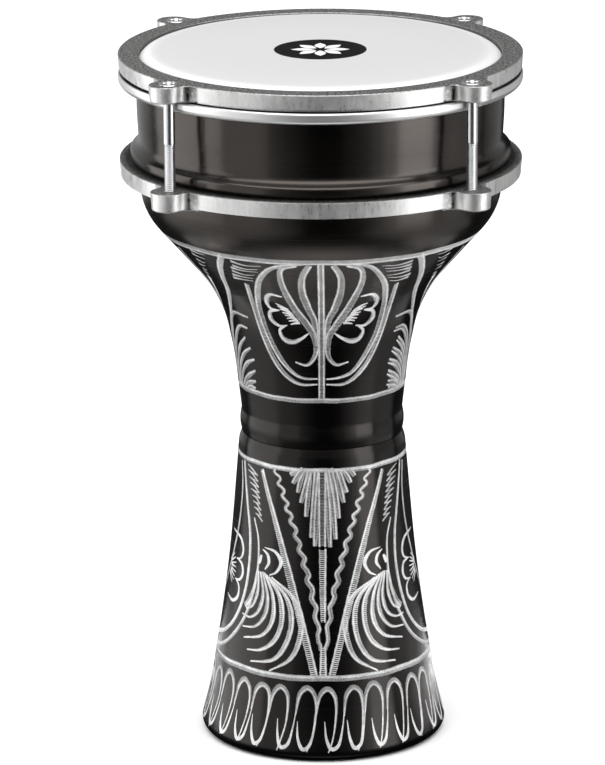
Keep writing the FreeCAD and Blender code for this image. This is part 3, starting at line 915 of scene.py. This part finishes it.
# Feather: strokes that fan up from one root and curl inwards
FEATHER = (
    [(76, 196.5), (80, 210), (72, 228), (60, 239.5), (46, 239.5)],
    [(75.5, 196.5), (76, 209), (67, 224), (58, 232), (49.5, 232.5)],
    [(74, 196.5), (72.5, 208), (64.5, 219), (54.5, 226.5)],
    [(72.5, 196.5), (69, 207.5), (60.5, 215.5), (51, 221)],
    [(70.5, 196.5), (65, 205.5), (57, 211.5), (49, 214.5)],
    [(68, 196.5), (61, 202.5), (49.5, 208)],
    [(65.5, 196.5), (59, 199.8), (50, 202)],
    [(63, 196.5), (57, 197.8), (51, 198)],
)
for places in FEATHER:
    everywhere(upper_art, places, [1.4, 2.8, 3.0, 1.5], -1)

# The feather at the front right was gone over a second time, between its strokes
for places in FEATHER[1:]:
    between = [(angle - 0.9, max(height - 1.9, 196)) for angle, height in places]
    stroke(upper_art, between, [1.8, 2.8, 2.4, 1.0], -1)

# Spray between the feathers, at the drum's sides
for side in (90, -90):
    stroke(upper_art, [(side, 276), (side, 250), (side, 226)], [1.2, 2.6, 1.0], both=True)
    for k in range(4):
        reach = 9.5 - 1.6 * k
        for mirror in (1, -1):
            root = (side, 235 + 9 * k)
            middle = (side + mirror * reach * 0.6, 241 + 9 * k)
            tip = (side + mirror * reach, 249 + 8.5 * k)
            stroke(upper_art, [root, middle, tip], [0.6, 1.7, 0.6], mirror)

# ---- Engraving: lower band -------------------------------------------------
lower_art = Gather()
ring_line(lower_art, 157, 2.8, 1, core=1.4)
ring_line(lower_art, 45, 3.4, 1, core=1.3)

# Fan of rays under the top line, and the long stem and trunk below them
everywhere(lower_art, [(0, 156), (0, 136), (0, 116)], [4.8, 4.5], centre=True, both=True)
everywhere(lower_art, [(0, 115), (0, 96), (0, 75)], [4.3, 3.8, 3.0], centre=True, ladder=True)
FAN = (
    (2.4, 4.2, 116.0),
    (4.6, 7.6, 120.5),
    (6.7, 10.8, 131.5),
    (9.0, 13.8, 140.0),
    (11.5, 16.7, 145.0),
    (14.3, 19.6, 149.5),
    (17.2, 22.0, 153.6),
)
for top_angle, end_angle, end in FAN:
    middle = ((top_angle + end_angle) / 2, (158 + end) / 2)
    ray = [(top_angle, 158), middle, (end_angle, end)]
    everywhere(lower_art, ray, [1.4, 2.4, 3.0, 3.0, 2.4], shake=0.7)
everywhere(lower_art, [(0, 62), (0, 46)], [3.4, 4.4], centre=True, both=True, ladder=True)

# Wavy line from the top line down to the trunk; its waves grow longer downwards
WAVE_STEPS = 72
serpentine = []
for k in range(WAVE_STEPS + 1):
    share = k / WAVE_STEPS
    height = 156 - 96 * share
    waves = 16 * share - 4.2 * share ** 2
    swing = (1.5 - 0.95 * share) * math.sin(2 * math.pi * waves) / wall_radius(height)
    serpentine.append((31.5 * (1 - share) ** 1.65 + 1.9 + math.degrees(swing), height))
everywhere(lower_art, serpentine, [1.6, 2.2, 3.0, 2.2], -1)

# Straight stroke beside it, from the top line to the foot line
everywhere(
    lower_art,
    [(45, 154.5), (30, 124), (17, 89), (8.8, 62.5), (4.6, 46.5)],
    [2.4, 3.2, 4.3, 4.3, 4.0],
    -1,
    ladder=True,
)

# Palmette: nested curves that hang from one point
PALMETTE = (
    ([(44.5, 98), (45.5, 90), (49, 82), (52.5, 78)], [1.2, 2.8, 3.0]),
    ([(43, 99), (42.5, 88), (45.5, 79.5), (51, 76.8)], [1.2, 2.4, 1.0]),
    ([(41.5, 99), (38, 87), (40.5, 77.5), (46.5, 73), (54, 73.3)], [1.3, 2.6, 0.7]),
    ([(40, 99), (35, 87), (35.5, 76.5), (42, 69), (52.5, 67)], [1.3, 2.8, 0.7]),
    ([(38.5, 98.5), (31.5, 88), (30.5, 75), (36.5, 65.2), (50.5, 61)], [1.3, 3.0, 0.7]),
    ([(37, 98), (27, 88), (24.5, 75.5), (28, 64), (36, 57.3), (46.5, 55.5)], [1.3, 3.2, 2.8, 0.7]),
    ([(35, 97.3), (22.5, 88), (18.6, 75.5), (21, 62.5), (28.5, 53), (43, 49.8)], [1.0, 3.2, 2.9, 0.7]),
    ([(33, 97), (19, 89), (13.2, 77.5), (13.4, 65.5), (18.5, 54.5), (30.5, 46.6)], [1.0, 3.4, 3.2, 0.7]),
)
for places, widths in PALMETTE:
    everywhere(lower_art, places, widths, -1, core=0.9, ladder=widths[1] > 2.9)

# Two crescents and a dot above it
for places, widths in (
    ([(39, 112.3), (31, 111.3), (26.6, 106), (29.5, 100.5), (34.5, 98)], [0.4, 1.4, 2.3, 1.5, 0.5]),
    ([(40.5, 111.3), (36.5, 108.8), (35.2, 104.6), (38, 100.8)], [0.5, 1.8, 1.8, 0.6]),
    ([(41, 108), (42.2, 105.5), (42.8, 103)], [1.2, 2.4, 1.2]),
):
    everywhere(lower_art, places, widths, comb=False)

# Scratched zigzag down the flank
for k in range(9):
    heel = (61 - 1.5 * k, 154.3 - 3.1 * k)
    toe = (49 - 0.85 * k, 150 - 3.0 * k)
    middle = ((heel[0] + toe[0]) / 2, (heel[1] + toe[1]) / 2 + 0.7)
    everywhere(ribs, [heel, middle, toe], [0.4, 0.9, 1.0], comb=False)
    if k < 8:
        everywhere(ribs, [toe, (heel[0] - 1.5, heel[1] - 3.1)], [0.5, 0.4], comb=False)

# Pointed arch of double lines round the side flower
everywhere(
    lower_art,
    [(66, 155.5), (57.5, 132), (52.8, 117), (51.5, 101), (54, 84), (60.5, 69.5), (72, 59.5), (90, 53.5)],
    [2.0, 2.4],
    ladder=True,
)
everywhere(
    lower_art,
    [(49.5, 127), (44.8, 116), (43.8, 101), (46, 88), (50.5, 74.5), (59, 61.5), (72, 52), (89, 47.5)],
    [1.0, 2.0, 2.4, 2.0],
)
everywhere(
    lower_art,
    [(70, 154.5), (66, 140), (67, 122), (73, 104), (81, 88), (89.5, 76)],
    [1.6, 2.0, 1.2],
)

# Side flower
for places in (
    [(77, 115), (64, 113), (59.5, 107.5), (61, 102.5), (67, 100.5)],
    [(67, 101), (59.5, 99.5), (57.5, 94.5), (60.5, 90.5), (66.5, 89.5)],
    [(66, 90), (60.5, 87), (60.8, 81), (67, 77.4), (76, 79)],
):
    everywhere(lower_art, places, [0.5, 1.5, 2.0, 1.5, 0.5], comb=False)
for k in range(8):
    swing = math.radians(-50 + 100 * k / 7)
    tip = (79 - 12.5 * math.cos(swing), 94.5 + 10.5 * math.sin(swing))
    root = (80 - 5 * math.cos(swing), 94.5 + 4.5 * math.sin(swing))
    everywhere(lower_art, [root, tip], [1.2, 0.6], comb=False)

# ---- Engraving: looped border round the foot --------------------------------
foot_art = Gather()
LOOPS = 29
HOOK = [(0.2, 22.5), (0.9, 13.5), (3.2, 7.8), (6.6, 10), (8.8, 19), (10.2, 29)]
HOOK_WIDTHS = [0.3, 1.2, 2.1, 1.2, 0.6, 0.4]
ARCH = [
    (9.6, 25), (11.4, 35.8), (15, 40.2), (18.9, 37.4), (20.1, 31), (19.4, 21), (17.7, 12.5), (15.7, 6),
]
ARCH_WIDTHS = [0.9, 1.9, 3.1, 2.3, 1.4, 1.1, 0.9, 0.5]
for k in range(LOOPS):
    start = 360 * k / LOOPS + chance.uniform(-1.1, 1.1)
    tall = chance.uniform(0.97, 1.02)
    for line, widths, comb in ((HOOK, HOOK_WIDTHS, False), (ARCH, ARCH_WIDTHS, True)):
        places = [
            (start + angle + chance.uniform(-0.2, 0.2), height * tall + chance.uniform(-0.25, 0.25))
            for angle, height in line
        ]
        stroke(foot_art, places, widths, -1, comb=comb)

upper_art.piece("engraving_upper", SHELL, ENGRAVING)
lower_art.piece("engraving_lower", SHELL, ENGRAVING)
foot_art.piece("engraving_foot", SHELL, ENGRAVING)
ribs.piece("engraving_ribs", SHELL, ENGRAVING_RIBS)
shading.piece("engraving_shading", SHELL, ENGRAVING_SHADE)

# ---- Floor, light and camera ----------------------------------------------
# Lengths from here on are in metres, and lights are in watts.
FLOOR_HALF = 12.0
floor_paint = Material("floor_paint", Roughness=0.9, Base_Color=(0.92, 0.92, 0.92, 1))
floor_mesh = bpy.data.meshes.new("floor")
floor_mesh.from_pydata(
    [(x * FLOOR_HALF, y * FLOOR_HALF, 0.0) for x, y in ((-1, -1), (1, -1), (1, 1), (-1, 1))],
    [],
    [[0, 1, 2, 3]],
)
floor_mesh.materials.append(floor_paint.material)
floor = bpy.data.objects.new("floor", floor_mesh)
bpy.context.scene.collection.objects.link(floor)
floor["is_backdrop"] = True
floor.visible_glossy = False

world = bpy.data.worlds.new("studio")
world.use_nodes = True
background = world.node_tree.nodes["Background"]
background.inputs["Color"].default_value = (1, 1, 1, 1)
background.inputs["Strength"].default_value = 0.016
bpy.context.scene.world = world
bpy.context.scene.view_settings.view_transform = "Standard"

BOX_CENTRE_Z = 0.42
BOX_TALL = 1.3
LIT_PLACE = Vector((0, 0, 0.2))


def panel(name, azimuth, distance, height, wide, tall, power):
    """An area light at an angle from the camera's side, aimed at the drum."""
    light = bpy.data.lights.new(name, "AREA")
    light.shape = "RECTANGLE"
    light.size = wide
    light.size_y = tall
    light.energy = power
    lamp = bpy.data.objects.new(name, light)
    bpy.context.scene.collection.objects.link(lamp)
    turn = math.radians(azimuth)
    lamp.location = (distance * math.sin(turn), -distance * math.cos(turn), height)
    lamp.rotation_euler = (LIT_PLACE - lamp.location).to_track_quat("-Z", "Y").to_euler()
    lamp.visible_camera = False
    return lamp


for name, azimuth, distance, wide, power in (
    ("left_box", -92, 1.25, 1.5, 11.5),
    ("left_front_box", -46, 1.3, 0.7, 1.9),
    ("right_box", 60, 1.3, 0.62, 7.2),
    ("right_side_box", 97, 1.3, 0.9, 2.0),
):
    panel(name, azimuth, distance, BOX_CENTRE_Z, wide, BOX_TALL, power)
panel("left_back_box", -150, 1.6, 0.45, 1.3, BOX_TALL, 2.5)
panel("right_back_box", 138, 1.6, 0.45, 1.0, BOX_TALL, 1.3)

# Narrow strips fade each box out towards the camera
for azimuth, power in (
    (-27, 0.15),
    (-19, 0.082),
    (-11, 0.042),
    (42, 0.8),
    (34, 0.36),
    (26, 0.15),
    (18, 0.08),
):
    panel("fade_%d" % azimuth, azimuth, 1.3, BOX_CENTRE_Z, 0.18, BOX_TALL, power)


def table_glow(name, azimuth, distance, wide, deep, power, spread=180):
    """Light coming back up from the table beside the drum."""
    lamp = panel(name, azimuth, distance, 0.003, wide, deep, power)
    lamp.rotation_euler = (math.pi, 0, math.radians(azimuth))
    lamp.data.spread = math.radians(spread)


# Each side is a few strips of different widths, so that its ends fade
for name, azimuth, strips in (
    ("left_table", -68, ((0.55, 0.66), (0.8, 0.92), (1.1, 1.15))),
    ("right_table", 71, ((0.28, 0.31), (0.5, 0.54), (0.76, 0.78))),
):
    for wide, power in strips:
        table_glow("%s_%d" % (name, wide * 100), azimuth, 0.68, wide, 0.7, power)
table_glow("under_bowl", 0, 0.0, 0.46, 0.46, 0.11, spread=60)
table_glow("left_beside", -115, 0.18, 0.2, 0.16, 0.23)
table_glow("right_beside", 115, 0.165, 0.16, 0.12, 0.2)
table_glow("left_between", -95, 0.29, 0.34, 0.12, 0.11)
table_glow("right_between", 95, 0.28, 0.3, 0.12, 0.1)

overhead = bpy.data.lights.new("overhead", "SUN")
overhead.energy = 4.2
overhead.angle = math.radians(80)
overhead_lamp = bpy.data.objects.new("overhead", overhead)
bpy.context.scene.collection.objects.link(overhead_lamp)
overhead_lamp.rotation_euler = (math.radians(8), 0, 0)

CAMERA_PLACE = Vector((0, -2.8, 0.9906))
CAMERA_AIM = Vector((-0.0104, 0, 0.1930))
CAMERA_ROLL = math.radians(0.33)
camera_data = bpy.data.cameras.new("camera")
camera_data.lens = 255.35
camera_data.sensor_width = 36
camera_data.clip_end = 60
camera = bpy.data.objects.new("camera", camera_data)
bpy.context.scene.collection.objects.link(camera)
camera.location = CAMERA_PLACE
look = (CAMERA_AIM - CAMERA_PLACE).to_track_quat("-Z", "Y").to_matrix()
camera.rotation_euler = (look @ Matrix.Rotation(-CAMERA_ROLL, 3, "Z")).to_euler()
bpy.context.scene.camera = camera

low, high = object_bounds()
